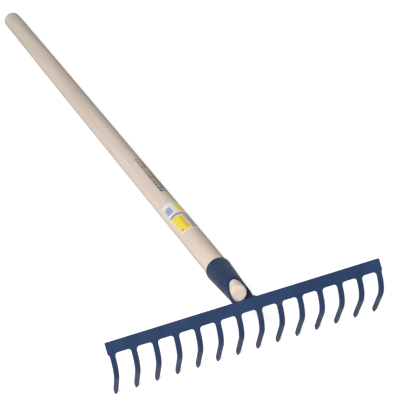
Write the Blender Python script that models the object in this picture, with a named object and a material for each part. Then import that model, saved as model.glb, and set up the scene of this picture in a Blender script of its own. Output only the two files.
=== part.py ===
"""Garden rake: curved teeth stamped from one steel sheet, welded to a tapered socket on an ash handle.

Lengths are in metres. The head has its own frame: X runs along the bar, Y goes back from the
middle of the sheet towards the handle, and Z goes up from the bar's top edge. The socket and
all that it holds have a second frame: Z is the handle's axis, measured from the height of the
bar's top edge, and -Y is the upper side. The finished rake lies on the floor on its tooth tips
and on the far end of its handle, with the origin in the middle of the area that it covers.
"""

import math

import bmesh
import bpy
import numpy as np
from mathutils import Matrix, Vector

# Head, cut from one flat sheet and bent. The bend's radius is that of the middle of the sheet,
# and BAR_END is how far the bar goes past the middle of the outer teeth. Each tooth narrows to
# its tip over TOOTH_TIP_LENGTH, by TOOTH_TIP_ROUND on each side.
TOOTH_COUNT = 14
TOOTH_PITCH = 0.028
TOOTH_ROOT_WIDTH = 0.0072
TOOTH_TIP_WIDTH = 0.0058
TOOTH_TIP_ROUND = 0.0025
TOOTH_TIP_LENGTH = 0.014
TOOTH_BEND_RADIUS = 0.036
TOOTH_BEND_ANGLE = math.radians(64.5)
TOOTH_STRAIGHT = 0.0475
SHEET = 0.0038
BAR_HEIGHT = 0.016
BAR_END = 0.0054
BAR_CORNER_ROUND = 0.0015
GAP_CORNER_ROUND = 0.004

# Socket, a tapered tube whose toe is cut on the slant. A name that ends in AT is a place on the
# handle's axis, and AXIS_SETBACK is how far that axis starts behind the middle of the sheet.
HANDLE_ANGLE = math.radians(63)
AXIS_SETBACK = 0.0065
SOCKET_RIM_AT = 0.094
SOCKET_RIM_DIAMETER = 0.0356
SOCKET_THROAT_AT = 0.024
SOCKET_THROAT_DIAMETER = 0.0288
SOCKET_WALL = 0.0018
RIM_ROUND = 0.0006
TOE_TOP_AT = 0.039
TOE_SIDE_AT = 0.0022
TOE_RISE = 0.001
SEAM_WIDTH = 0.0008
SEAM_END_AT = 0.046

# Handle, which is slack in the socket at its toe by HANDLE_TOE_SLACK all round
HANDLE_TOE_AT = 0.0165
HANDLE_TOE_SLACK = 0.0002
HANDLE_LENGTH = 1.388
HANDLE_NECK_AT = 0.17
HANDLE_NECK_DIAMETER = 0.0324
HANDLE_GRIP_AT = 1.0
HANDLE_GRIP_DIAMETER = 0.0348
HANDLE_TOE_ROUND = 0.003
HANDLE_END_ROUND = 0.006

# Nail that pins the handle in its socket. NAIL_TURN is how far its place lies from the
# right-hand side towards the underside.
NAIL_AT = 0.078
NAIL_TURN = math.radians(30)
NAIL_SHANK_DIAMETER = 0.0032
NAIL_HEAD_DIAMETER = 0.008
NAIL_HEAD_HEIGHT = 0.0016
NAIL_LENGTH = 0.016
NAIL_POINT = 0.004

# Weld beads between the bar's back and the socket's sides, thinner at their ends. They start
# above the bar's top edge by WELD_RISE.
WELD_RISE = 0.0015
WELD_LEG = 0.0032
WELD_END_LEG = 0.0014
WELD_DEPTH = 0.014
WELD_CROWN = 0.0005

# Thin label stuck round the handle's upper side
LABEL_START_AT = 0.202
LABEL_LENGTH = 0.095
LABEL_TURN = math.radians(4)
LABEL_WRAP = math.radians(116)
LABEL_THICKNESS = 0.00025

# Clearance between pieces that touch
FIT = 0.0003

ROUND_SEGMENTS = 48
CORNER_STEPS = 4
BEND_STEPS = 8
LABEL_STEPS = 14
LABEL_ROWS = 4
WELD_STEPS = 8
NAIL_SEGMENTS = 24
TILT_STEPS = 60
CUTTER_SIZE = 0.12
MERGE_DISTANCE = 1e-6
PLACE_DIGITS = 7
SMOOTH_ANGLE = math.radians(30)


def painted(name, colour, metallic, roughness):
    """A material with one Principled BSDF."""
    made = bpy.data.materials.new(name)
    made.use_nodes = True
    shader = made.node_tree.nodes["Principled BSDF"]
    shader.inputs["Base Color"].default_value = (*colour, 1.0)
    shader.inputs["Metallic"].default_value = metallic
    shader.inputs["Roughness"].default_value = roughness
    made.diffuse_color = (*colour, 1.0)
    return made


def add_empty(name, parent=None):
    empty = bpy.data.objects.new(name, None)
    bpy.context.scene.collection.objects.link(empty)
    empty.parent = parent
    return empty


def add_piece(name, mesh_builder, material, parent):
    """Turns a bmesh into a named object under its frame."""
    bmesh.ops.recalc_face_normals(mesh_builder, faces=mesh_builder.faces)
    mesh = bpy.data.meshes.new(name)
    mesh_builder.to_mesh(mesh)
    mesh_builder.free()
    if material:
        mesh.materials.append(material)
    mesh.shade_smooth()
    mesh.set_sharp_from_angle(angle=SMOOTH_ANGLE)
    piece = bpy.data.objects.new(name, mesh)
    bpy.context.scene.collection.objects.link(piece)
    piece.parent = parent
    return piece


def add_cutter(name, mesh_builder, parent):
    cutter = add_piece(name, mesh_builder, None, parent)
    cutter.hide_render = True
    cutter.display_type = "WIRE"
    return cutter


def cut(piece, cutter):
    boolean = piece.modifiers.new("cut " + cutter.name, "BOOLEAN")
    boolean.operation = "DIFFERENCE"
    boolean.object = cutter


def box_builder(low, high):
    """A box between two corners."""
    builder = bmesh.new()
    bmesh.ops.create_cube(builder, size=1.0)
    low, high = Vector(low), Vector(high)
    bmesh.ops.scale(builder, vec=high - low, verts=builder.verts)
    bmesh.ops.translate(builder, vec=(low + high) / 2, verts=builder.verts)
    return builder


def turned(profile, segments, closed=False):
    """Turns a list of (radius, z) round the Z axis. A closed profile makes a ring."""
    builder = bmesh.new()
    points = [builder.verts.new((radius, 0.0, z)) for radius, z in profile]
    ends = zip(points, points[1:] + points[:1]) if closed else zip(points, points[1:])
    edges = [builder.edges.new(pair) for pair in ends]
    bmesh.ops.spin(
        builder, geom=points + edges, cent=(0, 0, 0), axis=(0, 0, 1),
        angle=2 * math.pi, steps=segments, use_merge=True,
    )
    bmesh.ops.remove_doubles(builder, verts=builder.verts, dist=MERGE_DISTANCE)
    return builder


def along_x(builder):
    """Lays a shape that was turned round Z along X instead."""
    bmesh.ops.rotate(builder, matrix=Matrix.Rotation(math.pi / 2, 3, "Y"), verts=builder.verts)
    return builder


def on_sheet(across, down, depth):
    """The place in the head's frame of a point of the bent sheet.

    down is measured along the middle of the sheet from the bar's top edge, and depth from there
    towards the handle. The teeth bend back as soon as they leave the bar.
    """
    below = max(down - BAR_HEIGHT, 0.0)
    angle = min(below / TOOTH_BEND_RADIUS, TOOTH_BEND_ANGLE)
    straight = below - angle * TOOTH_BEND_RADIUS
    back = TOOTH_BEND_RADIUS * (1 - math.cos(angle)) + straight * math.sin(angle)
    drop = TOOTH_BEND_RADIUS * math.sin(angle) + straight * math.cos(angle)
    return Vector((
        across,
        back + depth * math.cos(angle),
        -min(down, BAR_HEIGHT) - drop + depth * math.sin(angle),
    ))


def tooth_end():
    """How far below the bar's top edge the teeth end, along the sheet."""
    return BAR_HEIGHT + TOOTH_BEND_RADIUS * TOOTH_BEND_ANGLE + TOOTH_STRAIGHT


def tooth_side(down):
    """Half the width of a tooth that narrows evenly from the bar to its tip."""
    share = (down - BAR_HEIGHT) / (tooth_end() - BAR_HEIGHT)
    return (TOOTH_ROOT_WIDTH + share * (TOOTH_TIP_WIDTH - TOOTH_ROOT_WIDTH)) / 2


def tooth_rows():
    """(down, half width, share of the root's flare) for each row of a tooth."""
    rows = []
    for step in range(CORNER_STEPS + 1):
        turn = step / CORNER_STEPS * math.pi / 2
        down = BAR_HEIGHT + GAP_CORNER_ROUND * (1 - math.cos(turn))
        rows.append((down, tooth_side(down), 1 - math.sin(turn)))
    bend_end = BAR_HEIGHT + TOOTH_BEND_RADIUS * TOOTH_BEND_ANGLE
    corner_end = BAR_HEIGHT + GAP_CORNER_ROUND
    for step in range(1, BEND_STEPS + 1):
        down = corner_end + step / BEND_STEPS * (bend_end - corner_end)
        rows.append((down, tooth_side(down), 0.0))
    for step in range(CORNER_STEPS + 1):
        turn = step / CORNER_STEPS * math.pi / 2
        down = tooth_end() - TOOTH_TIP_LENGTH * (1 - math.sin(turn))
        rows.append((down, tooth_side(down) - TOOTH_TIP_ROUND * (1 - math.cos(turn)), 0.0))
    return rows


def root_flare(meets_gap):
    """How much wider one side of a tooth is at its root: up to a gap's corner or the bar's end."""
    return GAP_CORNER_ROUND if meets_gap else BAR_END - TOOTH_ROOT_WIDTH / 2


def head_faces():
    """The head's flat pattern as faces, each a list of (across, down)."""
    centres = [(tooth - (TOOTH_COUNT - 1) / 2) * TOOTH_PITCH for tooth in range(TOOTH_COUNT)]
    rows = tooth_rows()
    faces, roots = [], []
    for centre in centres:
        left = root_flare(centre > centres[0])
        right = root_flare(centre < centres[-1])
        strip = [
            ((centre - side - share * left, down), (centre + side + share * right, down))
            for down, side, share in rows
        ]
        roots.append(strip[0])
        for upper, lower in zip(strip, strip[1:]):
            faces.append([upper[0], upper[1], lower[1], lower[0]])
    for left, right in roots[1:-1]:
        faces.append([(left[0], 0.0), (right[0], 0.0), right, left])
    for (_, left), (right, _) in zip(roots, roots[1:]):
        faces.append([(left[0], 0.0), (right[0], 0.0), right, left])
    faces.append(bar_end_face(centres[0], roots[0][0], roots[0][1], -1))
    faces.append(bar_end_face(centres[-1], roots[-1][1], roots[-1][0], 1))
    return faces


def bar_end_face(centre, outer_root, inner_root, side):
    """The end of the bar above an outer tooth, with its top corner rounded."""
    corner_x = centre + side * (BAR_END - BAR_CORNER_ROUND)
    face = [inner_root, (inner_root[0], 0.0)]
    for step in range(CORNER_STEPS + 1):
        turn = step / CORNER_STEPS * math.pi / 2
        face.append((
            corner_x + side * BAR_CORNER_ROUND * math.sin(turn),
            BAR_CORNER_ROUND * (1 - math.cos(turn)),
        ))
    face.append(outer_root)
    return face


def slab(faces, place, front, back):
    """A closed sheet from flat faces: place(across, down, depth) sets each corner."""
    builder = bmesh.new()
    corners = {}

    def corner(point, depth):
        key = (round(point[0], PLACE_DIGITS), round(point[1], PLACE_DIGITS), depth)
        if key not in corners:
            corners[key] = builder.verts.new(place(point[0], point[1], depth))
        return corners[key]

    uses = {}
    for face in faces:
        builder.faces.new([corner(point, front) for point in face])
        builder.faces.new([corner(point, back) for point in reversed(face)])
        for start, end in zip(face, face[1:] + face[:1]):
            pair = frozenset((corner(start, front), corner(end, front)))
            uses.setdefault(pair, []).append((start, end))
    for sides in uses.values():
        if len(sides) == 1:
            start, end = sides[0]
            builder.faces.new([
                corner(end, front), corner(start, front), corner(start, back), corner(end, back),
            ])
    return builder


def make_head(material, frame):
    builder = slab(head_faces(), on_sheet, -SHEET / 2, SHEET / 2)
    return add_piece("rake_head", builder, material, frame)


def socket_radius(at):
    """The socket's outer radius: even up to its throat, then widening to the rim."""
    share = max(at - SOCKET_THROAT_AT, 0.0) / (SOCKET_RIM_AT - SOCKET_THROAT_AT)
    return (SOCKET_THROAT_DIAMETER + share * (SOCKET_RIM_DIAMETER - SOCKET_THROAT_DIAMETER)) / 2


def handle_radius(at):
    """The handle fits the socket's rim, is slack at its toe, and widens slowly above its neck."""
    neck = HANDLE_NECK_DIAMETER / 2
    if at <= SOCKET_RIM_AT:
        slack = HANDLE_TOE_SLACK * (SOCKET_RIM_AT - at) / (SOCKET_RIM_AT - HANDLE_TOE_AT)
        return socket_radius(at) - SOCKET_WALL - FIT - slack
    if at <= HANDLE_NECK_AT:
        share = (at - SOCKET_RIM_AT) / (HANDLE_NECK_AT - SOCKET_RIM_AT)
        rim = handle_radius(SOCKET_RIM_AT)
        return neck + (rim - neck) * (1 - share) ** 2
    share = min((at - HANDLE_NECK_AT) / (HANDLE_GRIP_AT - HANDLE_NECK_AT), 1.0)
    return neck + share * (HANDLE_GRIP_DIAMETER / 2 - neck)


def toe_start():
    """A place on the axis where the whole tube is in front of the bar's back."""
    reach = AXIS_SETBACK + SOCKET_THROAT_DIAMETER
    return -reach / math.sin(HANDLE_ANGLE)


def make_socket(material, head_frame, axis_frame):
    outer, inner = [], []
    for at in (toe_start(), SOCKET_THROAT_AT, SOCKET_RIM_AT - RIM_ROUND):
        outer.append((socket_radius(at), at))
        inner.append((socket_radius(at) - SOCKET_WALL, at))
    rim = socket_radius(SOCKET_RIM_AT)
    outer.append((rim - RIM_ROUND, SOCKET_RIM_AT))
    inner.append((rim - SOCKET_WALL, SOCKET_RIM_AT))
    tube = turned(outer + inner[::-1], ROUND_SEGMENTS, closed=True)
    socket = add_piece("socket", tube, material, axis_frame)
    cut(socket, toe_cutter(axis_frame))
    cut(socket, bar_cutter(head_frame))
    cut(socket, toe_trimmer(head_frame))
    cut(socket, seam_cutter(axis_frame))
    cut(socket, nail_cutter("socket_nail_hole", axis_frame))
    return socket


def toe_cutter(axis_frame):
    """Removes the tube's upper side in front of the slanting toe, whose plane holds X."""
    top = socket_radius(TOE_TOP_AT)
    builder = box_builder((-CUTTER_SIZE, -CUTTER_SIZE, -CUTTER_SIZE), (CUTTER_SIZE, 0.0, CUTTER_SIZE))
    slant = math.atan2(top, TOE_TOP_AT - TOE_SIDE_AT)
    bmesh.ops.rotate(builder, matrix=Matrix.Rotation(slant, 3, "X"), verts=builder.verts)
    bmesh.ops.translate(builder, vec=(0, 0, TOE_SIDE_AT), verts=builder.verts)
    return add_cutter("toe_cutter", builder, axis_frame)


def bar_cutter(head_frame):
    """Removes what would reach into the bar, so that the toe ends against its back."""
    back = SHEET / 2 + FIT
    builder = box_builder((-CUTTER_SIZE, -CUTTER_SIZE, -CUTTER_SIZE), (CUTTER_SIZE, back, CUTTER_SIZE))
    return add_cutter("bar_cutter", builder, head_frame)


def toe_trimmer(head_frame):
    """Keeps the toe above the bar's lower edge, clear of the gaps between the teeth."""
    lowest = TOE_RISE - BAR_HEIGHT
    builder = box_builder((-CUTTER_SIZE, -CUTTER_SIZE, -CUTTER_SIZE), (CUTTER_SIZE, CUTTER_SIZE, lowest))
    return add_cutter("toe_trimmer", builder, head_frame)


def seam_cutter(axis_frame):
    """The open seam of the rolled tube, along its underside."""
    half = SEAM_WIDTH / 2
    builder = box_builder((-half, 0.0, SEAM_END_AT), (half, CUTTER_SIZE, CUTTER_SIZE))
    return add_cutter("seam_cutter", builder, axis_frame)


def nail_seat():
    """The distance from the axis to the underside of the nail's head."""
    return socket_radius(NAIL_AT + NAIL_HEAD_DIAMETER / 2) + FIT


def nail_cutter(name, axis_frame):
    """The hole that the nail's shank passes through, a little deeper than its point."""
    radius = NAIL_SHANK_DIAMETER / 2 + FIT
    bottom = nail_seat() - NAIL_LENGTH - FIT
    profile = [(0.0, bottom), (radius, bottom), (radius, CUTTER_SIZE), (0.0, CUTTER_SIZE)]
    hole = add_cutter(name, along_x(turned(profile, NAIL_SEGMENTS)), axis_frame)
    hole.location = (0, 0, NAIL_AT)
    hole.rotation_euler = (0, 0, NAIL_TURN)
    return hole


def make_nail(material, axis_frame):
    seat = nail_seat()
    head, shank = NAIL_HEAD_DIAMETER / 2, NAIL_SHANK_DIAMETER / 2
    point = seat - NAIL_LENGTH
    profile = [(0.0, point), (shank, point + NAIL_POINT), (shank, seat), (head, seat)]
    for step in range(1, CORNER_STEPS + 1):
        turn = step / CORNER_STEPS * math.pi / 2
        profile.append((head * math.cos(turn), seat + NAIL_HEAD_HEIGHT * math.sin(turn)))
    nail = add_piece("handle_nail", along_x(turned(profile, NAIL_SEGMENTS)), material, axis_frame)
    nail.location = (0, 0, NAIL_AT)
    nail.rotation_euler = (0, 0, NAIL_TURN)
    return nail


def make_handle(material, axis_frame):
    end_at = HANDLE_TOE_AT + HANDLE_LENGTH
    toe = handle_radius(HANDLE_TOE_AT)
    profile = [(0.0, HANDLE_TOE_AT)]
    for step in range(CORNER_STEPS + 1):
        turn = step / CORNER_STEPS * math.pi / 2
        profile.append((
            toe - HANDLE_TOE_ROUND * (1 - math.sin(turn)),
            HANDLE_TOE_AT + HANDLE_TOE_ROUND * (1 - math.cos(turn)),
        ))
    stations = [SOCKET_THROAT_AT, SOCKET_RIM_AT]
    for step in range(1, CORNER_STEPS + 1):
        stations.append(SOCKET_RIM_AT + step / CORNER_STEPS * (HANDLE_NECK_AT - SOCKET_RIM_AT))
    stations.append(HANDLE_GRIP_AT)
    profile += [(handle_radius(at), at) for at in stations]
    grip = handle_radius(end_at)
    for step in range(CORNER_STEPS + 1):
        turn = step / CORNER_STEPS * math.pi / 2
        profile.append((
            grip - HANDLE_END_ROUND * (1 - math.cos(turn)),
            end_at - HANDLE_END_ROUND * (1 - math.sin(turn)),
        ))
    profile.append((0.0, end_at))
    handle = add_piece("handle", turned(profile, ROUND_SEGMENTS), material, axis_frame)
    cut(handle, nail_cutter("handle_nail_hole", axis_frame))
    return handle


def make_label(material, axis_frame):
    """A thin sheet wrapped round the handle. Its turn is measured from the upper side towards +X."""

    def place(turn, at, height):
        radius = handle_radius(at) + height
        return Vector((radius * math.sin(turn), -radius * math.cos(turn), at))

    faces = []
    for row in range(LABEL_ROWS):
        for column in range(LABEL_STEPS):
            start = LABEL_TURN + (column / LABEL_STEPS - 0.5) * LABEL_WRAP
            end = LABEL_TURN + ((column + 1) / LABEL_STEPS - 0.5) * LABEL_WRAP
            low = LABEL_START_AT + row / LABEL_ROWS * LABEL_LENGTH
            high = LABEL_START_AT + (row + 1) / LABEL_ROWS * LABEL_LENGTH
            faces.append([(start, low), (end, low), (end, high), (start, high)])
    builder = slab(faces, place, FIT, FIT + LABEL_THICKNESS)
    return add_piece("label", builder, material, axis_frame)


def lip_back(z):
    """How far back the plane of the slanting toe lies at a height in the head's frame."""
    plane = Vector((-socket_radius(TOE_TOP_AT), TOE_TOP_AT - TOE_SIDE_AT))
    rise = plane.y * math.cos(HANDLE_ANGLE) - plane.x * math.sin(HANDLE_ANGLE)
    run = plane.y * math.sin(HANDLE_ANGLE) + plane.x * math.cos(HANDLE_ANGLE)
    side_z = TOE_SIDE_AT * math.cos(HANDLE_ANGLE)
    side_y = AXIS_SETBACK + TOE_SIDE_AT * math.sin(HANDLE_ANGLE)
    return side_y + (z - side_z) * run / rise


def socket_side(y, z):
    """The distance from the middle to the socket's side at a place in the head's frame."""
    back = y - AXIS_SETBACK
    height = z * math.sin(HANDLE_ANGLE) - back * math.cos(HANDLE_ANGLE)
    along = z * math.cos(HANDLE_ANGLE) + back * math.sin(HANDLE_ANGLE)
    return math.sqrt((socket_radius(along) + FIT) ** 2 - height**2)


def make_weld(name, side, material, frame):
    """A fillet in the corner between the bar's back and one side of the socket."""
    builder = bmesh.new()
    front = SHEET / 2 + FIT
    rings = []
    for step in range(WELD_STEPS + 1):
        share = step / WELD_STEPS
        z = WELD_RISE - share * WELD_DEPTH
        leg = WELD_END_LEG + (WELD_LEG - WELD_END_LEG) * math.sin(math.pi * share)
        back = max(lip_back(z), front) + leg
        middle = (front + back) / 2
        on_bar = Vector((socket_side(front, z) + leg, front))
        on_socket = Vector((socket_side(back, z), back))
        chord = on_socket - on_bar
        outward = Vector((chord.y, -chord.x)).normalized()
        section = [
            (socket_side(front, z), front),
            (socket_side(middle, z), middle),
            on_socket,
            (on_bar + on_socket) / 2 + outward * WELD_CROWN,
            on_bar,
        ]
        rings.append([builder.verts.new((side * x, y, z)) for x, y in section])
    for upper, lower in zip(rings, rings[1:]):
        for first in range(len(upper)):
            second = (first + 1) % len(upper)
            builder.faces.new([upper[first], upper[second], lower[second], lower[first]])
    builder.faces.new(rings[0])
    builder.faces.new(rings[-1][::-1])
    return add_piece(name, builder, material, frame)


def lay_on_floor(frame, head, handle, axis_matrix):
    """Turns the rake about X until tooth tips and handle end touch the floor, then centres it."""
    head_points = np.array([vertex.co for vertex in head.data.vertices])
    handle_points = np.array([axis_matrix @ vertex.co for vertex in handle.data.vertices])

    def height(points, tilt):
        return points[:, 1] * math.sin(tilt) + points[:, 2] * math.cos(tilt)

    low, high = -math.pi / 2, 0.0
    for _ in range(TILT_STEPS):
        tilt = (low + high) / 2
        if height(handle_points, tilt).min() > height(head_points, tilt).min():
            high = tilt
        else:
            low = tilt
    both = np.vstack((head_points, handle_points))
    across = both[:, 1] * math.cos(tilt) - both[:, 2] * math.sin(tilt)
    frame.rotation_euler = (tilt, 0, 0)
    frame.location = (0, -(across.min() + across.max()) / 2, -height(both, tilt).min())


def main():
    for old in list(bpy.data.objects):
        bpy.data.objects.remove(old, do_unlink=True)
    blue = painted("blue_paint", (0.026, 0.055, 0.145), 0.0, 0.42)
    ash = painted("ash_wood", (0.72, 0.58, 0.44), 0.0, 0.6)
    zinc = painted("zinc_steel", (0.55, 0.55, 0.56), 1.0, 0.4)
    film = painted("label_film", (0.8, 0.68, 0.08), 0.0, 0.5)

    rake = add_empty("rake_frame")
    axis = add_empty("handle_axis", rake)
    axis.location = (0, AXIS_SETBACK, 0)
    axis.rotation_euler = (-HANDLE_ANGLE, 0, 0)
    axis_matrix = Matrix.Translation(axis.location) @ Matrix.Rotation(-HANDLE_ANGLE, 4, "X")

    head = make_head(blue, rake)
    make_socket(blue, rake, axis)
    make_weld("weld_bead_left", -1, blue, rake)
    make_weld("weld_bead_right", 1, blue, rake)
    handle = make_handle(ash, axis)
    make_nail(zinc, axis)
    make_label(film, axis)
    lay_on_floor(rake, head, handle, axis_matrix)


main()
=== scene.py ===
"""Looks of the garden rake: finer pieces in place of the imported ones, materials, light and camera.

Lengths are in metres. Two frames carry the pieces, as in the part. The head's frame has X along
the bar, Y back from the middle of the sheet and Z up from the bar's top edge. The handle's frame
has Z along its axis, measured from the height of the bar's top edge, and -Y on its upper side.
"""

import math

import bmesh
import bpy
from mathutils import Matrix, Vector, noise


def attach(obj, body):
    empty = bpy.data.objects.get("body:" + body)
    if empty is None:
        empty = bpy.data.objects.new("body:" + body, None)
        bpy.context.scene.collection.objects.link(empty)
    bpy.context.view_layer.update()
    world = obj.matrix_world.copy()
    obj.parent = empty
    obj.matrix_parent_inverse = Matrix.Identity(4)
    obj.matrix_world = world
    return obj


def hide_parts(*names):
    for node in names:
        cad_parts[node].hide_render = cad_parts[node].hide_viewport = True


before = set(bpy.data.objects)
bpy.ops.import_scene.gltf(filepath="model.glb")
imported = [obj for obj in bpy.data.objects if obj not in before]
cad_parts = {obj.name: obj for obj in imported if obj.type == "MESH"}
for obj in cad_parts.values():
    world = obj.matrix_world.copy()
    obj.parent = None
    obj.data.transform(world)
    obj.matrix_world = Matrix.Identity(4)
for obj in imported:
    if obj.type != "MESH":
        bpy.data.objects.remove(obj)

# How the rake lies: turned about X, then moved so that it rests on its tooth tips and handle end
RAKE_TILT = math.radians(-29.9441)
RAKE_PLACE = (0.0, -0.697095, 0.092451)

# Head
TOOTH_COUNT = 14
TOOTH_PITCH = 0.028
TOOTH_ROOT_WIDTH = 0.0072
TOOTH_TIP_WIDTH = 0.0058
TOOTH_TIP_ROUND = 0.0025
TOOTH_TIP_LENGTH = 0.014
TOOTH_BEND_RADIUS = 0.036
TOOTH_BEND_ANGLE = math.radians(64.5)
TOOTH_STRAIGHT = 0.0475
SHEET = 0.0038
BAR_HEIGHT = 0.016
BAR_END = 0.0054
BAR_CORNER_ROUND = 0.0015
GAP_CORNER_ROUND = 0.004
EDGE_ROUND = 0.0006
EDGE_ROUND_ABOVE = math.radians(40)

# Socket
HANDLE_ANGLE = math.radians(63)
AXIS_SETBACK = 0.0065
SOCKET_RIM_AT = 0.094
SOCKET_RIM_DIAMETER = 0.0356
SOCKET_THROAT_AT = 0.024
SOCKET_THROAT_DIAMETER = 0.0288
SOCKET_WALL = 0.0018
RIM_ROUND = 0.0006
LIP_ROUND = 0.0006
TOE_TOP_AT = 0.039
TOE_SIDE_AT = 0.0022
TOE_RISE = 0.001
TOE_SINK = 0.0002
SEAM_WIDTH = 0.0008
SEAM_END_AT = 0.046

# Handle
HANDLE_TOE_AT = 0.0165
HANDLE_TOE_SLACK = 0.0002
HANDLE_LENGTH = 1.388
HANDLE_NECK_AT = 0.17
HANDLE_NECK_DIAMETER = 0.0324
HANDLE_GRIP_AT = 1.0
HANDLE_GRIP_DIAMETER = 0.0348
HANDLE_TOE_ROUND = 0.003
HANDLE_END_ROUND = 0.006
SANDING_SHARE = 0.003
SANDING_WAVES_PER_METRE = 9
FIT = 0.0003

# Nail
NAIL_AT = 0.078
NAIL_TURN = math.radians(30)
NAIL_SHANK_DIAMETER = 0.0032
NAIL_HEAD_DIAMETER = 0.008
NAIL_HEAD_HEIGHT = 0.0016
NAIL_HEAD_UNDER_SHARE = 0.92
NAIL_RIM_SHARE = 0.12
NAIL_LENGTH = 0.016
NAIL_POINT = 0.004
NAIL_TIP_SHARE = 0.125
NAIL_TOP_SHARE = 0.02

# Weld beads
WELD_RISE = 0.0015
WELD_LEG = 0.0032
WELD_END_LEG = 0.0014
WELD_DEPTH = 0.014
WELD_CROWN = 0.0006
WELD_RIPPLES = 6
WELD_RIPPLE_HEIGHT = 0.00018
WELD_SINK = 0.0003

# Label
LABEL_START_AT = 0.202
LABEL_LENGTH = 0.095
LABEL_TURN = math.radians(4)
LABEL_WRAP = math.radians(116)
LABEL_THICKNESS = 0.00018
LABEL_LIFT = 0.00008

# Steps of the round stretches, rows along the long ones, and rings of the discs at the handle's ends
CORNER_STEPS = 6
BEND_ROWS = 16
EDGE_STEPS = 3
LIP_STEPS = 4
SOCKET_ROWS = 20
TUBE_SEGMENTS = 120
WELD_ROWS = 36
WELD_SIDE_STEPS = 4
WELD_CROWN_STEPS = 8
HANDLE_TOE_STEPS = 4
HANDLE_END_STEPS = 10
NAIL_SEGMENTS = 40
NAIL_DOME_STEPS = 8
LABEL_COLUMNS = 48
LABEL_ROWS = 24
DISC_SHARES = (0.02, 0.35, 0.7)

# Digits to which the corners of a sheet are matched, and the angle from which an edge stays sharp
PLACE_DIGITS = 7
SMOOTH_ANGLE = math.radians(35)

# Paint, and the painted shade that darkens it inside the socket and in a line along its rim
PAINT_DEEP = (28, 46, 78)
PAINT_PALE = (34, 54, 86)
PAINT_GRAIN = (44, 64, 98)
DUST_SPECK = (110, 120, 140)
SOCKET_PAINTED_SHADE = (20, 21, 27)
INSIDE_DARK_SHARE = 0.6
RIM_DARK_FROM = 0.003
RIM_DARK_TO = 0.0045
RIM_DARK_SHARE = 0.85

# Wood. Its rings lie round a pith off the axis, and its colour pales from one place to another
# along the far part of the shaft.
ASH_WARM = (229, 214, 203)
ASH_LIGHT = (232, 220, 208)
ASH_FAR = (241, 233, 217)
ASH_STREAK = (216, 194, 177)
LATE_WOOD = (208, 184, 165)
WOOD_FIBRE = (205, 184, 167)
WOOD_PORE = (176, 150, 128)
END_GRAIN = (236, 222, 208)
END_STAIN = (234, 216, 196)
# Painted shade on the rounds next to the shaft's flat ends
ARRIS_SHADE = (204, 182, 162)
INK = (34, 28, 20)
PITH_LEFT = 0.031
PITH_ABOVE = 0.012
RING_WIDTH = 0.0036
RING_WANDER = 0.02
PALER_FROM = 0.8
PALER_TO = 1.35

# Ink mark on the shaft, in millimetres as around_handle gives them
MARK = ((0.0, 343.0), (13.2, 481.0))
MARK_DASH_PITCH = 11.0
MARK_DASH_SHARE = 0.7
MARK_ROW_PITCH = 4.4
MARK_ROW_SHARE = 0.76
MARK_FADES_FROM = 350.0
MARK_FADES_TO = 480.0

# Printed film: its colours, and its fields in millimetres as around_handle gives them
FILM_WHITE = (236, 232, 236)
FILM_SHADE = (226, 222, 230)
FILM_WORN = (214, 208, 200)
YELLOW = (238, 216, 34)
GREY = (184, 176, 168)
SLATE = (150, 164, 190)
VIOLET = (112, 102, 140)
ORANGE = (214, 150, 50)
DEEP_ORANGE = (206, 140, 52)
BROWN = (150, 96, 70)
DASH_BROWN = (84, 70, 60)
GREY_FIELD = ((3.2, 204.0), (17.0, 251.5))
LOWER_YELLOW_FIELD = ((-14.6, 204.0), (2.2, 251.5))
UPPER_YELLOW_FIELD = ((2.0, 263.0), (11.6, 295.0))
SLATE_FIELD = ((-14.4, 265.0), (-4.4, 286.0))
BAND = ((-15.0, 253.4), (17.0, 258.0))
LEFT_LINE = ((-3.4, 208.0), (-2.2, 246.0))
RIGHT_LINE = ((-0.8, 208.0), (0.4, 246.0))
BROWN_FIELD = ((-12.4, 206.5), (-8.8, 209.8))
FILM_DASHES = ((4.6, 206.0), (15.6, 249.0))
FILM_DASH_PITCH = 7.0
FILM_DASH_SHARE = 0.8
FILM_ROW_PITCH = 2.6
FILM_ROW_SHARE = 0.5

# Zinc and floor
ZINC_DARK = (150, 150, 152)
ZINC_LIGHT = (205, 205, 208)
FLOOR_DARK = (238, 238, 238)
FLOOR_LIGHT = (242, 242, 242)
WHITE = (1.0, 1.0, 1.0, 1.0)

# Camera, as fitted to the picture
CAMERA_PLACE = (-0.44098, -2.16132, 1.06035)
CAMERA_TURN = math.radians(-15.3857)
CAMERA_ELEVATION = math.radians(28.1206)
CAMERA_ROLL = math.radians(-8.7863)
SENSOR_WIDTH = 36.0
LENS = 128.309
NEAREST_SEEN = 0.05
FARTHEST_SEEN = 200.0

# Floor and light. The key lamp's place is given from its target, with its turn counted from
# straight in front towards the left. The lifts are light that the floor adds to what falls on it
# where the camera or a gloss looks at it, so that it reads as white paper. Far off, where the
# lamp's light thins out, the floor is as white to the camera as the world behind it.
FLOOR_SIZE = 60.0
FLOOR_LIFT = 0.7
FLOOR_LIFT_GROWS_FROM = 2.5
FLOOR_WHITE_FROM = 7.0
FLOOR_GLOSS_LIFT = 0.2
WORLD_FILL = 0.1
KEY_TARGET = Vector((0.0, -0.35, 0.05))
KEY_TURN = math.radians(30)
KEY_ELEVATION = math.radians(38)
KEY_DISTANCE = 6.0
KEY_SIZE = 2.0
KEY_POWER = 420.0

# The two frames, as matrices from each to the world
HEAD_FRAME = Matrix.Translation(RAKE_PLACE) @ Matrix.Rotation(RAKE_TILT, 4, "X")
AXIS_FRAME = (
    HEAD_FRAME
    @ Matrix.Translation((0, AXIS_SETBACK, 0))
    @ Matrix.Rotation(-HANDLE_ANGLE, 4, "X")
)


def quarter(steps):
    """The angles of a quarter turn in even steps, from 0 to 90 degrees."""
    return [step / steps * math.pi / 2 for step in range(steps + 1)]


def even(first, last, steps):
    """The places from first to last in even steps, both included."""
    return [first + step / steps * (last - first) for step in range(steps + 1)]


# Frames and pieces

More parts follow.
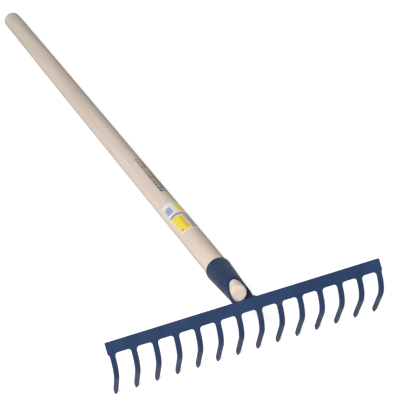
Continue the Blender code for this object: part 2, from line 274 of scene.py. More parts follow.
def add_object(name, builder, matrix):
    """Turns a bmesh that was built in one frame into an object in the world's frame."""
    bmesh.ops.recalc_face_normals(builder, faces=builder.faces)
    bmesh.ops.transform(builder, matrix=matrix, verts=builder.verts)
    mesh = bpy.data.meshes.new(name)
    builder.to_mesh(mesh)
    builder.free()
    made = bpy.data.objects.new(name, mesh)
    bpy.context.scene.collection.objects.link(made)
    return made


def add_piece(name, builder, matrix, material, node):
    """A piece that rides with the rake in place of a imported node."""
    piece = add_object(name, builder, matrix)
    piece.data.materials.append(material)
    piece.data.shade_smooth()
    piece.data.set_sharp_from_angle(angle=SMOOTH_ANGLE)
    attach(piece, "root")
    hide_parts(node)
    return piece


def add_cutter(name, builder, matrix):
    """A hidden object whose shape is only taken out of a piece."""
    cutter = add_object(name, builder, matrix)
    cutter.hide_render = True
    cutter.display_type = "WIRE"
    return cutter


def cut(piece, cutter):
    """Takes a cutter's shape out of a piece."""
    boolean = piece.modifiers.new("cut " + cutter.name, "BOOLEAN")
    boolean.operation = "DIFFERENCE"
    boolean.object = cutter


def rings_to_faces(builder, rings, closed):
    """Joins rings of points, each as long as the next, with four-sided faces."""
    for ring, following in zip(rings, rings[1:] + (rings[:1] if closed else [])):
        for first in range(len(ring)):
            second = (first + 1) % len(ring)
            builder.faces.new([ring[first], ring[second], following[second], following[first]])


def turned(profile, segments, wobble=None):
    """Turns a list of (radius, z) round the Z axis. wobble(turn, z) scales the radius."""
    builder = bmesh.new()
    rings = []
    for radius, z in profile:
        ring = []
        for segment in range(segments):
            turn = 2 * math.pi * segment / segments
            scale = wobble(turn, z) if wobble else 1.0
            ring.append(builder.verts.new((
                radius * scale * math.sin(turn), -radius * scale * math.cos(turn), z,
            )))
        rings.append(ring)
    rings_to_faces(builder, rings, closed=False)
    builder.faces.new(rings[0])
    builder.faces.new(rings[-1])
    return builder


def along_x(builder):
    """Lays a shape that was turned round Z along X instead."""
    bmesh.ops.rotate(builder, matrix=Matrix.Rotation(math.pi / 2, 3, "Y"), verts=builder.verts)
    return builder


# Head

def on_sheet(across, down, depth):
    """The place in the head's frame of a point of the bent sheet."""
    below = max(down - BAR_HEIGHT, 0.0)
    angle = min(below / TOOTH_BEND_RADIUS, TOOTH_BEND_ANGLE)
    straight = below - angle * TOOTH_BEND_RADIUS
    back = TOOTH_BEND_RADIUS * (1 - math.cos(angle)) + straight * math.sin(angle)
    drop = TOOTH_BEND_RADIUS * math.sin(angle) + straight * math.cos(angle)
    return Vector((
        across,
        back + depth * math.cos(angle),
        -min(down, BAR_HEIGHT) - drop + depth * math.sin(angle),
    ))


def tooth_end():
    """How far down the flat sheet the tip of a tooth lies, from the bar's top edge."""
    return BAR_HEIGHT + TOOTH_BEND_RADIUS * TOOTH_BEND_ANGLE + TOOTH_STRAIGHT


def tooth_side(down):
    """Half the width of a tooth that narrows evenly from the bar to its tip."""
    share = (down - BAR_HEIGHT) / (tooth_end() - BAR_HEIGHT)
    return (TOOTH_ROOT_WIDTH + share * (TOOTH_TIP_WIDTH - TOOTH_ROOT_WIDTH)) / 2


def tooth_rows():
    """(down, half width, share of the root's flare) for each row of a tooth."""
    rows = []
    for turn in quarter(CORNER_STEPS):
        down = BAR_HEIGHT + GAP_CORNER_ROUND * (1 - math.cos(turn))
        rows.append((down, tooth_side(down), 1 - math.sin(turn)))
    bend_end = BAR_HEIGHT + TOOTH_BEND_RADIUS * TOOTH_BEND_ANGLE
    for down in even(BAR_HEIGHT + GAP_CORNER_ROUND, bend_end, BEND_ROWS)[1:]:
        rows.append((down, tooth_side(down), 0.0))
    for turn in quarter(CORNER_STEPS):
        down = tooth_end() - TOOTH_TIP_LENGTH * (1 - math.sin(turn))
        rows.append((down, tooth_side(down) - TOOTH_TIP_ROUND * (1 - math.cos(turn)), 0.0))
    return rows


def bar_end_face(centre, outer_root, inner_root, side):
    """The end of the bar above an outer tooth, with its top corner rounded."""
    corner_x = centre + side * (BAR_END - BAR_CORNER_ROUND)
    face = [inner_root, (inner_root[0], 0.0)]
    for turn in quarter(CORNER_STEPS):
        face.append((
            corner_x + side * BAR_CORNER_ROUND * math.sin(turn),
            BAR_CORNER_ROUND * (1 - math.cos(turn)),
        ))
    face.append(outer_root)
    return face


def root_flare(meets_gap):
    """How much wider one side of a tooth is at its root: up to a gap's corner or the bar's end."""
    return GAP_CORNER_ROUND if meets_gap else BAR_END - TOOTH_ROOT_WIDTH / 2


def head_faces():
    """The head's flat pattern as faces, each a list of (across, down)."""
    centres = [(tooth - (TOOTH_COUNT - 1) / 2) * TOOTH_PITCH for tooth in range(TOOTH_COUNT)]
    rows = tooth_rows()
    faces, roots = [], []
    for centre in centres:
        left = root_flare(centre > centres[0])
        right = root_flare(centre < centres[-1])
        strip = [
            ((centre - side - share * left, down), (centre + side + share * right, down))
            for down, side, share in rows
        ]
        roots.append(strip[0])
        for upper, lower in zip(strip, strip[1:]):
            faces.append([upper[0], upper[1], lower[1], lower[0]])
    for left, right in roots[1:-1]:
        faces.append([(left[0], 0.0), (right[0], 0.0), right, left])
    for (_, left), (right, _) in zip(roots, roots[1:]):
        faces.append([(left[0], 0.0), (right[0], 0.0), right, left])
    faces.append(bar_end_face(centres[0], roots[0][0], roots[0][1], -1))
    faces.append(bar_end_face(centres[-1], roots[-1][1], roots[-1][0], 1))
    return faces


def slab(faces, place, front, back):
    """A closed sheet from flat faces: place(across, down, depth) sets each corner."""
    builder = bmesh.new()
    corners = {}

    def corner(point, depth):
        key = (round(point[0], PLACE_DIGITS), round(point[1], PLACE_DIGITS), depth)
        if key not in corners:
            corners[key] = builder.verts.new(place(point[0], point[1], depth))
        return corners[key]

    uses = {}
    for face in faces:
        builder.faces.new([corner(point, front) for point in face])
        builder.faces.new([corner(point, back) for point in reversed(face)])
        for start, end in zip(face, face[1:] + face[:1]):
            pair = frozenset((corner(start, front), corner(end, front)))
            uses.setdefault(pair, []).append((start, end))
    for sides in uses.values():
        if len(sides) == 1:
            start, end = sides[0]
            builder.faces.new([
                corner(end, front), corner(start, front), corner(start, back), corner(end, back),
            ])
    return builder


def make_head(material):
    """The pressed sheet, with the small round that shearing and paint leave on its edges."""
    builder = slab(head_faces(), on_sheet, -SHEET / 2, SHEET / 2)
    head = add_piece("pressed_head", builder, HEAD_FRAME, material, "rake_head")
    bevel = head.modifiers.new("edge round", "BEVEL")
    bevel.width = EDGE_ROUND
    bevel.segments = EDGE_STEPS
    bevel.limit_method = "ANGLE"
    bevel.angle_limit = EDGE_ROUND_ABOVE
    bevel.harden_normals = True
    return head


# Socket

def socket_radius(at):
    """The socket's outer radius: even up to its throat, then widening to the rim."""
    share = max(at - SOCKET_THROAT_AT, 0.0) / (SOCKET_RIM_AT - SOCKET_THROAT_AT)
    return (SOCKET_THROAT_DIAMETER + share * (SOCKET_RIM_DIAMETER - SOCKET_THROAT_DIAMETER)) / 2


def toe_at(turn, inset):
    """Where a line of the tube starts: at the slanting toe, the bar's back or its trimmed foot.

    turn goes from the upper side towards +X, and inset is the depth below the outer surface.
    The radius depends on the place itself, so the place is worked out three times over.
    """
    at = 0.0
    for _ in range(3):
        y = -(socket_radius(at) - inset) * math.cos(turn)
        slope = (TOE_TOP_AT - TOE_SIDE_AT) / socket_radius(TOE_TOP_AT)
        bar_back = SHEET / 2 - TOE_SINK - AXIS_SETBACK - y * math.cos(HANDLE_ANGLE)
        foot = TOE_RISE - BAR_HEIGHT + y * math.sin(HANDLE_ANGLE)
        at = max(
            TOE_SIDE_AT - y * slope,
            bar_back / math.sin(HANDLE_ANGLE),
            foot / math.cos(HANDLE_ANGLE),
        )
    return at


def socket_section(turn):
    """(inset, at) round the wall on one line of the tube, with rounded lip and rim."""
    section = []
    rim_start = SOCKET_RIM_AT - RIM_ROUND
    for angle in quarter(LIP_STEPS)[::-1]:
        inset = RIM_ROUND * (1 - math.cos(angle))
        section.append((inset, SOCKET_RIM_AT - RIM_ROUND * (1 - math.sin(angle))))
    outer_start = toe_at(turn, 0) + LIP_ROUND
    section += [(0.0, at) for at in even(rim_start, outer_start, SOCKET_ROWS)[1:]]
    for angle in quarter(LIP_STEPS)[1:]:
        inset = LIP_ROUND * (1 - math.cos(angle))
        section.append((inset, toe_at(turn, inset) + LIP_ROUND * (1 - math.sin(angle))))
    for angle in quarter(LIP_STEPS)[::-1]:
        inset = SOCKET_WALL - LIP_ROUND * (1 - math.cos(angle))
        section.append((inset, toe_at(turn, inset) + LIP_ROUND * (1 - math.sin(angle))))
    inner_start = toe_at(turn, SOCKET_WALL) + LIP_ROUND
    section += [(SOCKET_WALL, at) for at in even(inner_start, rim_start, SOCKET_ROWS)[1:]]
    for angle in quarter(LIP_STEPS)[1:]:
        inset = SOCKET_WALL - RIM_ROUND * (1 - math.cos(angle))
        section.append((inset, SOCKET_RIM_AT - RIM_ROUND * (1 - math.sin(angle))))
    return section


def make_socket(material):
    """The tube, as one section of its wall for each line round it, with its seam cut."""
    builder = bmesh.new()
    rings = []
    for segment in range(TUBE_SEGMENTS):
        turn = 2 * math.pi * segment / TUBE_SEGMENTS
        ring = []
        for inset, at in socket_section(turn):
            radius = socket_radius(at) - inset
            ring.append(builder.verts.new((radius * math.sin(turn), -radius * math.cos(turn), at)))
        rings.append(ring)
    rings_to_faces(builder, rings, closed=True)
    socket = add_piece("socket_tube", builder, AXIS_FRAME, material, "socket")
    cut(socket, seam_cutter())
    return socket


def seam_cutter():
    """The open seam of the rolled tube, along its underside."""
    builder = bmesh.new()
    bmesh.ops.create_cube(builder, size=1.0)
    reach = SOCKET_RIM_DIAMETER
    size = Vector((SEAM_WIDTH, reach, 2 * (SOCKET_RIM_AT - SEAM_END_AT)))
    bmesh.ops.scale(builder, vec=size, verts=builder.verts)
    bmesh.ops.translate(builder, vec=(0, reach / 2, SOCKET_RIM_AT), verts=builder.verts)
    return add_cutter("seam_cutter", builder, AXIS_FRAME)


# Weld beads

def lip_back(z):
    """How far back the plane of the slanting toe lies at a height in the head's frame."""
    plane = Vector((-socket_radius(TOE_TOP_AT), TOE_TOP_AT - TOE_SIDE_AT))
    rise = plane.y * math.cos(HANDLE_ANGLE) - plane.x * math.sin(HANDLE_ANGLE)
    run = plane.y * math.sin(HANDLE_ANGLE) + plane.x * math.cos(HANDLE_ANGLE)
    side_z = TOE_SIDE_AT * math.cos(HANDLE_ANGLE)
    side_y = AXIS_SETBACK + TOE_SIDE_AT * math.sin(HANDLE_ANGLE)
    return side_y + (z - side_z) * run / rise


def socket_side(y, z):
    """The distance from the middle to just inside the socket's side at a place in the head's frame."""
    back = y - AXIS_SETBACK
    height = z * math.sin(HANDLE_ANGLE) - back * math.cos(HANDLE_ANGLE)
    along = z * math.cos(HANDLE_ANGLE) + back * math.sin(HANDLE_ANGLE)
    return math.sqrt((socket_radius(along) - WELD_SINK) ** 2 - height**2)


def weld_section(share):
    """The bead's outline, as (x, y) in the head's frame, at a share of its depth."""
    z = WELD_RISE - share * WELD_DEPTH
    leg = WELD_END_LEG + (WELD_LEG - WELD_END_LEG) * math.sin(math.pi * share)
    front = SHEET / 2 - WELD_SINK
    back = max(lip_back(z), front) + leg
    on_bar = Vector((socket_side(front, z) + leg, front))
    on_socket = Vector((socket_side(back, z), back))
    chord = on_socket - on_bar
    outward = Vector((chord.y, -chord.x)).normalized()
    ripple = WELD_RIPPLE_HEIGHT * abs(math.sin(math.pi * WELD_RIPPLES * share))
    outline = [(socket_side(y, z), y) for y in even(front, back, WELD_SIDE_STEPS)]
    for step in range(1, WELD_CROWN_STEPS):
        part = 1 - step / WELD_CROWN_STEPS
        crown = (WELD_CROWN + ripple) * math.sin(math.pi * part)
        outline.append(on_bar + chord * part + outward * crown)
    outline.append(on_bar)
    return [Vector((x, y, z)) for x, y in outline]


def make_weld(name, side, material, node):
    """A rippled bead in the corner between the bar's back and one side of the socket."""
    builder = bmesh.new()
    rings = []
    for share in even(0.0, 1.0, WELD_ROWS):
        rings.append([builder.verts.new((side * p.x, p.y, p.z)) for p in weld_section(share)])
    rings_to_faces(builder, rings, closed=False)
    builder.faces.new(rings[0])
    builder.faces.new(rings[-1])
    return add_piece(name, builder, HEAD_FRAME, material, node)


# Handle, nail and label

def handle_radius(at):
    """The handle fits the socket's rim, is slack at its toe, and widens slowly above its neck."""
    neck = HANDLE_NECK_DIAMETER / 2
    if at <= SOCKET_RIM_AT:
        slack = HANDLE_TOE_SLACK * (SOCKET_RIM_AT - at) / (SOCKET_RIM_AT - HANDLE_TOE_AT)
        return socket_radius(at) - SOCKET_WALL - FIT - slack
    if at <= HANDLE_NECK_AT:
        share = (at - SOCKET_RIM_AT) / (HANDLE_NECK_AT - SOCKET_RIM_AT)
        rim = handle_radius(SOCKET_RIM_AT)
        return neck + (rim - neck) * (1 - share) ** 2
    share = min((at - HANDLE_NECK_AT) / (HANDLE_GRIP_AT - HANDLE_NECK_AT), 1.0)
    return neck + share * (HANDLE_GRIP_DIAMETER / 2 - neck)


def handle_wobble(turn, at):
    """The slight waves that sanding leaves, never outside the nominal surface."""
    place = Vector((math.sin(turn), math.cos(turn), at * SANDING_WAVES_PER_METRE))
    return 1 - SANDING_SHARE + SANDING_SHARE * noise.noise(place)


def handle_stations(end_at):
    """The places along the shaft between its rounded ends, closer where its shape changes more."""
    spans = (
        (HANDLE_TOE_AT + HANDLE_TOE_ROUND, SOCKET_THROAT_AT, 4),
        (SOCKET_THROAT_AT, SOCKET_RIM_AT, 12),
        (SOCKET_RIM_AT, HANDLE_NECK_AT, 12),
        (HANDLE_NECK_AT, HANDLE_GRIP_AT, 60),
        (HANDLE_GRIP_AT, end_at - HANDLE_END_ROUND, 30),
    )
    stations = []
    for first, last, steps in spans:
        stations += even(first, last, steps)[1:]
    return stations[:-1]


def make_handle(material):
    """The shaft, turned from its toe in the socket to its rounded far end."""
    end_at = HANDLE_TOE_AT + HANDLE_LENGTH
    profile = []
    toe = handle_radius(HANDLE_TOE_AT)
    for share in DISC_SHARES:
        profile.append((share * (toe - HANDLE_TOE_ROUND), HANDLE_TOE_AT))
    for angle in quarter(HANDLE_TOE_STEPS):
        profile.append((
            toe - HANDLE_TOE_ROUND * (1 - math.sin(angle)),
            HANDLE_TOE_AT + HANDLE_TOE_ROUND * (1 - math.cos(angle)),
        ))
    profile += [(handle_radius(at), at) for at in handle_stations(end_at)]
    grip = handle_radius(end_at)
    for angle in quarter(HANDLE_END_STEPS):
        profile.append((
            grip - HANDLE_END_ROUND * (1 - math.cos(angle)),
            end_at - HANDLE_END_ROUND * (1 - math.sin(angle)),
        ))
    for share in reversed(DISC_SHARES):
        profile.append((share * (grip - HANDLE_END_ROUND), end_at))
    builder = turned(profile, TUBE_SEGMENTS, handle_wobble)
    return add_piece("handle_shaft", builder, AXIS_FRAME, material, "handle")


def make_nail(material):
    """A round nail with a low domed head that stands on the socket's side."""
    seat = socket_radius(NAIL_AT + NAIL_HEAD_DIAMETER / 2)
    head, shank = NAIL_HEAD_DIAMETER / 2, NAIL_SHANK_DIAMETER / 2
    point = seat - NAIL_LENGTH
    rim = NAIL_HEAD_HEIGHT * NAIL_RIM_SHARE
    profile = [(shank * NAIL_TIP_SHARE, point), (shank, point + NAIL_POINT), (shank, seat)]
    profile += [(head * NAIL_HEAD_UNDER_SHARE, seat), (head, seat + rim)]
    for angle in quarter(NAIL_DOME_STEPS)[1:]:
        profile.append((
            head * max(math.cos(angle), NAIL_TOP_SHARE),
            seat + rim + (NAIL_HEAD_HEIGHT - rim) * math.sin(angle),
        ))
    builder = along_x(turned(profile, NAIL_SEGMENTS))
    place = AXIS_FRAME @ Matrix.Translation((0, 0, NAIL_AT)) @ Matrix.Rotation(NAIL_TURN, 4, "Z")
    return add_piece("round_nail", builder, place, material, "handle_nail")


def make_label(material):
    """A thin printed film wrapped round the handle."""

    def place(turn, at, height):
        radius = handle_radius(at) + height
        return Vector((radius * math.sin(turn), -radius * math.cos(turn), at))

    turns = even(LABEL_TURN - LABEL_WRAP / 2, LABEL_TURN + LABEL_WRAP / 2, LABEL_COLUMNS)
    places = even(LABEL_START_AT, LABEL_START_AT + LABEL_LENGTH, LABEL_ROWS)
    faces = []
    for start, end in zip(turns, turns[1:]):
        for low, high in zip(places, places[1:]):
            faces.append([(start, low), (end, low), (end, high), (start, high)])
    builder = slab(faces, place, LABEL_LIFT, LABEL_LIFT + LABEL_THICKNESS)
    return add_piece("label_film", builder, AXIS_FRAME, material, "label")


# Materials

def put(tree, socket, value):
    """Sets a node's input to a value, or joins another node's output to it."""
    if isinstance(value, bpy.types.NodeSocket):
        tree.links.new(value, socket)
    else:
        socket.default_value = value


class Graph:
    """The nodes of one material, with short calls that add nodes and join them."""

    def __init__(self, name):
        self.material = bpy.data.materials.new(name)
        self.material.use_nodes = True
        self.tree = self.material.node_tree
        self.surface = self.tree.nodes["Principled BSDF"]

    def add(self, kind, inputs, output=0, **settings):
        made = self.tree.nodes.new("ShaderNode" + kind)
        for name, value in settings.items():
            setattr(made, name, value)
        for name, value in inputs.items():
            put(self.tree, made.inputs[name], value)
        return made.outputs[output]

    def math(self, operation, *values, clamp=False):
        return self.add("Math", dict(enumerate(values)), operation=operation, use_clamp=clamp)

    def place(self, scale=(1.0, 1.0, 1.0)):
        """The place on the surface in the handle's frame, in metres, scaled along its axes."""
        to_axis = AXIS_FRAME.inverted()
        place = self.add("Mapping", {
            "Vector": self.add("TexCoord", {}, "Object"),
            "Rotation": to_axis.to_euler(),
            "Location": to_axis.to_translation(),
        })
        if scale == (1.0, 1.0, 1.0):
            return place
        return self.add("Mapping", {"Vector": place, "Scale": scale})

    def split(self, vector):
        parts = self.tree.nodes.new("ShaderNodeSeparateXYZ")
        put(self.tree, parts.inputs[0], vector)
        return parts.outputs

    def noise(self, place, scale, detail=2.0, roughness=0.5, distortion=0.0):
        return self.add("TexNoise", {
            "Vector": place, "Scale": scale, "Detail": detail,
            "Roughness": roughness, "Distortion": distortion,
        })

    def stretch(self, value, low, high, to_low=0.0, to_high=1.0):
        """Maps low to to_low and high to to_high, and holds what is outside at the ends."""
        return self.add("MapRange", {
            "Value": value, "From Min": low, "From Max": high, "To Min": to_low, "To Max": to_high,
        })

    def blend(self, share, first, second):
        """The first colour where share is 0, the second where it is 1."""
        made = self.tree.nodes.new("ShaderNodeMix")
        made.data_type = "RGBA"
        put(self.tree, made.inputs[0], share)
        put(self.tree, made.inputs[6], first)
        put(self.tree, made.inputs[7], second)
        return made.outputs[2]

    def bump(self, height, distance, strength=1.0, normal=None):
        inputs = {"Height": height, "Distance": distance, "Strength": strength}
        if normal:
            inputs["Normal"] = normal
        return self.add("Bump", inputs)

    def finish(self, **inputs):
        """Sets the surface's inputs, named with underscores for spaces."""
        for name, value in inputs.items():
            put(self.tree, self.surface.inputs[name.replace("_", " ")], value)
        return self.material


def linear(colour):
    """A colour in linear light, from red, green and blue of 0 to 255 as a picture shows them."""
    bright = []
    for value in colour:
        share = value / 255
        bright.append(share / 12.92 if share <= 0.04045 else ((share + 0.055) / 1.055) ** 2.4)
    return (*bright, 1.0)


def blue_paint(name="satin_blue_paint", edge=None):
    """Satin blue paint on pressed steel: cloudy thickness, orange peel, and a few dust specks.

    edge(graph) gives the share of a painted shade that darkens the paint.
    """
    graph = Graph(name)
    place = graph.place()
    cloud = graph.noise(place, 28.0, 3.0)
    grain = graph.noise(place, 420.0, 2.0)
    speck = graph.noise(place, 1500.0, 0.0)
    tone = graph.blend(graph.stretch(cloud, 0.35, 0.65), linear(PAINT_DEEP), linear(PAINT_PALE))
    tone = graph.blend(graph.stretch(grain, 0.55, 0.8, 0.0, 0.25), tone, linear(PAINT_GRAIN))
    tone = graph.blend(graph.stretch(speck, 0.76, 0.8, 0.0, 0.3), tone, linear(DUST_SPECK))
    # Painted shade: darker inside the socket and in a line along its rim
    if edge:
        tone = graph.blend(edge(graph), tone, linear(SOCKET_PAINTED_SHADE))
    peel = graph.noise(place, 650.0, 1.0)
    dents = graph.noise(place, 60.0, 2.0)
    normal = graph.bump(dents, 0.0006, 0.6)
    normal = graph.bump(peel, 0.00006, 0.8, normal)
    rough = graph.stretch(graph.noise(place, 90.0, 3.0), 0.3, 0.7, 0.38, 0.5)
    return graph.finish(Base_Color=tone, Roughness=rough, Normal=normal, Specular_IOR_Level=0.15)


def socket_painted_shade(graph):
    """How much painted shade darkens the socket inside, on its wall's inner half, and in a line along
    its rim.
    """
    x, y, z = graph.split(graph.place())
    out = graph.math("SQRT", graph.math("MULTIPLY_ADD", x, x, graph.math("MULTIPLY", y, y)))
    outer = graph.stretch(
        z, SOCKET_THROAT_AT, SOCKET_RIM_AT, SOCKET_THROAT_DIAMETER / 2, SOCKET_RIM_DIAMETER / 2,
    )
    inset = graph.math("SUBTRACT", outer, out)
    inside = graph.stretch(inset, 0.3 * SOCKET_WALL, 0.7 * SOCKET_WALL, 0.0, INSIDE_DARK_SHARE)
    from_rim = graph.math("SUBTRACT", SOCKET_RIM_AT, z)
    at_rim = graph.stretch(from_rim, RIM_DARK_FROM, RIM_DARK_TO, RIM_DARK_SHARE, 0.0)
    return graph.math("MAXIMUM", inside, at_rim)


def around_handle(graph):
    """(across, along) in millimetres on the handle's surface.

    across goes round it from its upper side towards +X, and along is measured as in its frame.
    """
    x, y, z = graph.split(graph.place())
    turn = graph.math("ARCTAN2", x, graph.math("MULTIPLY", y, -1.0))
    across = graph.math("MULTIPLY", turn, 1000 * HANDLE_NECK_DIAMETER / 2)
    return across, graph.math("MULTIPLY", z, 1000.0)


def rounded_box(graph, across, along, box, corner=0.8, soft=0.15):
    """1 inside a box with rounded corners, given by two places in millimetres, and 0 outside."""
    low, high = box
    parts = []
    for value, first, last in ((across, low[0], high[0]), (along, low[1], high[1])):
        off = graph.math("ABSOLUTE", graph.math("SUBTRACT", value, (first + last) / 2))
        over = graph.math("SUBTRACT", off, (last - first) / 2 - corner)
        parts.append(graph.math("MAXIMUM", over, 0.0))
    square = graph.math("MULTIPLY_ADD", parts[0], parts[0], graph.math("MULTIPLY", parts[1], parts[1]))
    distance = graph.math("SQRT", square)
    return graph.stretch(distance, corner - soft, corner + soft, 1.0, 0.0)


def repeated(graph, value, pitch, share, soft=0.06):
    """1 over a share of each pitch along a value, and 0 over the rest."""
    part = graph.math("FRACT", graph.math("DIVIDE", value, pitch))
    off = graph.math("ABSOLUTE", graph.math("SUBTRACT", part, 0.5))
    return graph.stretch(off, share / 2 - soft, share / 2 + soft, 1.0, 0.0)


def dashes(graph, across, along, box, corner, dash, row):
    """Rows of plain dashes inside a box. dash and row are each a pitch and the share it fills."""
    return graph.math(
        "MULTIPLY",
        rounded_box(graph, across, along, box, corner),
        graph.math("MULTIPLY", repeated(graph, along, *dash), repeated(graph, across, *row)),
    )


def wood_mark(graph):
    """A worn ink mark on the shaft: three rows of plain dashes, fainter towards the far end."""
    across, along = around_handle(graph)
    inked = dashes(
        graph, across, along, MARK, 1.5,
        (MARK_DASH_PITCH, MARK_DASH_SHARE), (MARK_ROW_PITCH, MARK_ROW_SHARE),
    )
    worn = graph.stretch(graph.noise(graph.place((1.0, 1.0, 0.6)), 150.0, 3.0, 0.6), 0.36, 0.46)
    faded = graph.stretch(along, MARK_FADES_FROM, MARK_FADES_TO, 1.0, 0.65)
    return graph.math("MULTIPLY", graph.math("MULTIPLY", inked, worn), faded)


def late_wood(graph):
    """How late in its year's growth the wood is, which grows steeply towards each ring's edge."""
    across, under, _ = graph.split(graph.place())
    wander = graph.noise(graph.place((6.0, 6.0, 2.2)), 1.0, 2.0)
    x = graph.math("ADD", graph.math("MULTIPLY_ADD", wander, RING_WANDER, across), PITH_LEFT)
    y = graph.math("ADD", under, PITH_ABOVE)
    from_pith = graph.math("SQRT", graph.math("MULTIPLY_ADD", x, x, graph.math("MULTIPLY", y, y)))
    ring = graph.math("FRACT", graph.math("DIVIDE", from_pith, RING_WIDTH))
    return graph.math("POWER", ring, 3.0)


def end_tones(graph, place, tone):
    """Turns the tone to end grain on the shaft's flat ends, and darker on the round next to them, a
    painted shade that tones down the highlight there.

    The shaft lies almost along Y, so the share of the normal along Y tells its ends from its side.
    """
    endward = graph.math("ABSOLUTE", graph.split(graph.add("TexCoord", {}, "Normal"))[1])
    stain = graph.stretch(graph.noise(place, 130.0, 2.0), 0.35, 0.65)
    end_grain = graph.blend(stain, linear(END_GRAIN), linear(END_STAIN))
    tone = graph.blend(graph.stretch(endward, 0.9, 0.99, 0.0, 0.8), tone, end_grain)
    # Painted shade on the round between each flat end and the side
    off_side = graph.stretch(endward, 0.1, 0.4)
    off_flat = graph.stretch(endward, 0.9, 0.99, 1.0, 0.0)
    arris_shade = graph.math("MULTIPLY", off_side, off_flat)
    return graph.blend(graph.math("MULTIPLY", arris_shade, 0.6), tone, linear(ARRIS_SHADE))


def ash_wood():
    """Pale sanded ash: growth rings, streaks, fibres, pores, end grain and an ink mark."""
    graph = Graph("pale_ash_wood")
    place = graph.place()
    along = graph.split(place)[2]
    late = late_wood(graph)
    fibre = graph.noise(graph.place((1.0, 1.0, 0.02)), 900.0, 3.0, 0.6)
    streak = graph.noise(graph.place((1.0, 1.0, 0.03)), 160.0, 3.0)
    pore = graph.noise(graph.place((1.0, 1.0, 0.06)), 1700.0, 1.0)
    patch = graph.noise(graph.place((1.0, 1.0, 0.35)), 22.0, 2.0)
    tone = graph.blend(graph.stretch(patch, 0.35, 0.65), linear(ASH_WARM), linear(ASH_LIGHT))
    tone = graph.blend(graph.stretch(along, PALER_FROM, PALER_TO, 0.0, 0.6), tone, linear(ASH_FAR))
    tone = graph.blend(graph.stretch(streak, 0.4, 0.7, 0.0, 0.45), tone, linear(ASH_STREAK))
    tone = graph.blend(graph.math("MULTIPLY", late, 0.38), tone, linear(LATE_WOOD))
    tone = graph.blend(graph.stretch(fibre, 0.5, 0.75, 0.0, 0.35), tone, linear(WOOD_FIBRE))
    tone = graph.blend(graph.stretch(pore, 0.68, 0.74, 0.0, 0.4), tone, linear(WOOD_PORE))
    tone = end_tones(graph, place, tone)
    tone = graph.blend(wood_mark(graph), tone, linear(INK))
    height = graph.math("MULTIPLY_ADD", fibre, 0.6, graph.math("MULTIPLY", late, -0.25))
    normal = graph.bump(height, 0.00012, 0.7)
    rough = graph.stretch(streak, 0.3, 0.7, 0.56, 0.72)
    return graph.finish(Base_Color=tone, Roughness=rough, Normal=normal, Specular_IOR_Level=0.08)


def printed_film():
    """White film with plain colour fields, a band, two lines and rows of plain dashes, a little worn."""
    graph = Graph("printed_film")
    across, along = around_handle(graph)
    place = graph.place()
    shade = graph.stretch(graph.noise(place, 70.0, 2.0), 0.3, 0.7)
    tone = graph.blend(shade, linear(FILM_WHITE), linear(FILM_SHADE))
    fields = (
        (GREY_FIELD, GREY, 0.8),
        (LOWER_YELLOW_FIELD, YELLOW, 1.6),
        (UPPER_YELLOW_FIELD, YELLOW, 1.6),
        (SLATE_FIELD, SLATE, 3.6),
        (BAND, VIOLET, 0.8),
        (LEFT_LINE, ORANGE, 0.5),
        (RIGHT_LINE, DEEP_ORANGE, 0.5),
        (BROWN_FIELD, BROWN, 0.8),
    )
    for box, colour, corner in fields:
        tone = graph.blend(rounded_box(graph, across, along, box, corner), tone, linear(colour))
    rows = dashes(
        graph, across, along, FILM_DASHES, 0.8,
        (FILM_DASH_PITCH, FILM_DASH_SHARE), (FILM_ROW_PITCH, FILM_ROW_SHARE),
    )
    tone = graph.blend(graph.math("MULTIPLY", rows, 0.9), tone, linear(DASH_BROWN))
    worn = graph.stretch(graph.noise(place, 900.0, 2.0), 0.66, 0.74, 0.0, 0.3)
    tone = graph.blend(worn, tone, linear(FILM_WORN))
    normal = graph.bump(graph.noise(place, 140.0, 2.0), 0.00008, 0.6)
    rough = graph.stretch(graph.noise(place, 60.0, 1.0), 0.3, 0.7, 0.32, 0.42)
    return graph.finish(Base_Color=tone, Roughness=rough, Normal=normal)


def zinc_steel():
    """Dull zinc on a nail's head, with hammer marks."""
    graph = Graph("zinc_steel")
    place = graph.place()
    marks = graph.noise(place, 700.0, 3.0)
    tone = graph.blend(marks, linear(ZINC_DARK), linear(ZINC_LIGHT))
    normal = graph.bump(marks, 0.0001, 0.8)
    rough = graph.stretch(graph.noise(place, 1200.0, 2.0), 0.3, 0.7, 0.3, 0.5)
    return graph.finish(Base_Color=tone, Roughness=rough, Normal=normal, Metallic=1.0)


# Stage, light and camera

def strength_by_ray(tree, lighting, camera, gloss):
    """One strength on rays that carry light, and others where the camera or a gloss looks."""
    path = tree.nodes.new("ShaderNodeLightPath")
    strength = lighting
    looks = (("Is Glossy Ray", gloss), ("Is Transmission Ray", gloss), ("Is Camera Ray", camera))
    for ray, seen in looks:
        choice = tree.nodes.new("ShaderNodeMapRange")
        put(tree, choice.inputs["Value"], path.outputs[ray])
        put(tree, choice.inputs["To Min"], strength)
        put(tree, choice.inputs["To Max"], seen)
        strength = choice.outputs[0]
    return strength


def pale_floor():
    """A pale floor that keeps its shadows and otherwise reads as white paper."""
    graph = Graph("pale_floor")
    place = graph.place()
    tone = graph.blend(graph.noise(place, 3.0, 2.0), linear(FLOOR_DARK), linear(FLOOR_LIGHT))
    off = graph.add("VectorMath", {0: place}, output=1, operation="LENGTH")
    seen = graph.stretch(off, FLOOR_LIFT_GROWS_FROM, FLOOR_WHITE_FROM, FLOOR_LIFT, 1.0)
    lift = strength_by_ray(graph.tree, 0.0, seen, FLOOR_GLOSS_LIFT)
    graph.finish(Base_Color=tone, Roughness=0.9, Specular_IOR_Level=0.1)
    return graph.finish(Emission_Color=WHITE, Emission_Strength=lift)


def make_floor():
    """A wide flat floor at the height of the rake's tooth tips."""
    bpy.ops.mesh.primitive_plane_add(size=FLOOR_SIZE)
    floor = bpy.context.object
    floor.name = "floor"
    floor.data.materials.append(pale_floor())


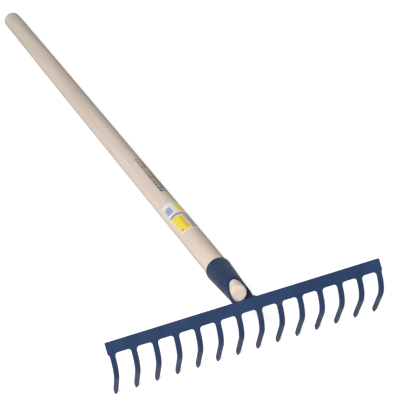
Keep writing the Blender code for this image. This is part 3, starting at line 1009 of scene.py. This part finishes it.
def make_world():
    """Weak white light from all round, and plain white where the camera or a gloss looks at it."""
    world = bpy.data.worlds.new("soft_studio")
    bpy.context.scene.world = world
    world.use_nodes = True
    background = world.node_tree.nodes["Background"]
    strength = strength_by_ray(world.node_tree, WORLD_FILL, 1.0, 1.0)
    put(world.node_tree, background.inputs["Color"], WHITE)
    put(world.node_tree, background.inputs["Strength"], strength)


def make_key():
    """One wide soft lamp, high on the left and in front, as the shading of the shaft shows."""
    lamp = bpy.data.lights.new("key", "AREA")
    lamp.size = KEY_SIZE
    lamp.energy = KEY_POWER
    key = bpy.data.objects.new("key", lamp)
    bpy.context.scene.collection.objects.link(key)
    towards_key = Vector((
        -math.sin(KEY_TURN) * math.cos(KEY_ELEVATION),
        -math.cos(KEY_TURN) * math.cos(KEY_ELEVATION),
        math.sin(KEY_ELEVATION),
    ))
    key.location = KEY_TARGET + towards_key * KEY_DISTANCE
    key.rotation_euler = towards_key.to_track_quat("Z", "Y").to_euler()


def make_camera():
    """The camera at the picture's place and angle."""
    data = bpy.data.cameras.new("photo_camera")
    data.sensor_width = SENSOR_WIDTH
    data.lens = LENS
    data.clip_start = NEAREST_SEEN
    data.clip_end = FARTHEST_SEEN
    camera = bpy.data.objects.new("photo_camera", data)
    bpy.context.scene.collection.objects.link(camera)
    camera.matrix_world = (
        Matrix.Translation(CAMERA_PLACE)
        @ Matrix.Rotation(CAMERA_TURN, 4, "Z")
        @ Matrix.Rotation(math.pi / 2 - CAMERA_ELEVATION, 4, "X")
        @ Matrix.Rotation(CAMERA_ROLL, 4, "Z")
    )
    bpy.context.scene.camera = camera


def make_rake():
    """Every piece of the rake with its material."""
    paint = blue_paint()
    make_head(paint)
    make_socket(blue_paint("satin_blue_paint_socket", socket_painted_shade))
    make_weld("weld_left", -1, paint, "weld_bead_left")
    make_weld("weld_right", 1, paint, "weld_bead_right")
    make_handle(ash_wood())
    make_nail(zinc_steel())
    make_label(printed_film())


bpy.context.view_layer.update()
make_rake()
make_floor()
make_world()
make_key()
make_camera()
bpy.context.scene.view_settings.view_transform = "Standard"
